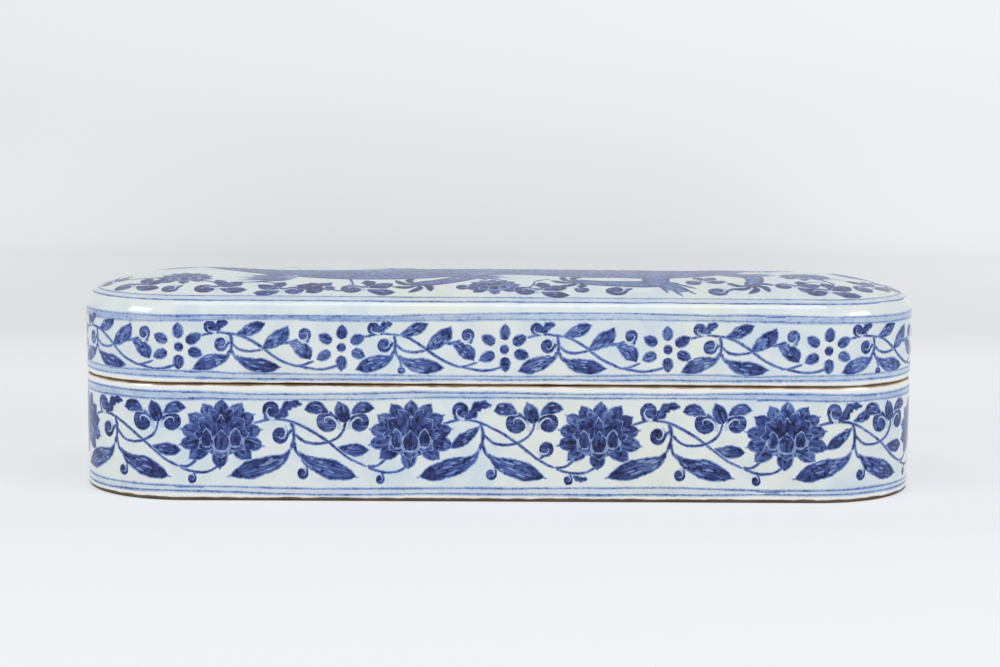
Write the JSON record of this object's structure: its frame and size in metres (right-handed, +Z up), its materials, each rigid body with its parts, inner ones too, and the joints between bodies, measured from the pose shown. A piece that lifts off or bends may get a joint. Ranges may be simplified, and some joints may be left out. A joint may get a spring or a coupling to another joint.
{
  "type": "porcelain pen box",
  "caption": "Oblong porcelain pen box with rounded ends and a lift-off domed cover seated over an inner lip; inside are a pen tray, notched brush rests and an ink compartment.",
  "frame": {"origin": "on the table under the middle of the box", "axes": "+X along the box's length towards the ink compartment, +Y from the front to the back, +Z up out of the open box"},
  "size_m": [0.32, 0.092, 0.082],
  "materials": {
    "glazed_porcelain": "clear glossy glaze with a faint blue-green tint over white porcelain",
    "biscuit_porcelain": "unglazed porcelain, burnt buff to brown on its edges",
    "cobalt_painting": "brushed cobalt blue under the glaze, darker where it pooled"
  },
  "bodies": {
    "box": {"box_wall": "glazed_porcelain", "box_floor": "glazed_porcelain", "inner_lip": "biscuit_porcelain", "end_partition": "glazed_porcelain", "brush_rest_left": "glazed_porcelain", "brush_rest_right": "glazed_porcelain"},
    "cover": {"cover_wall": "glazed_porcelain", "cover_top": "glazed_porcelain"}
  },
  "joints": [
    {"name": "cover_lift", "type": "slide", "parent": "box", "child": "cover", "axis": [0, 0, 1], "range_m": [0, 0.09]}
  ]
}
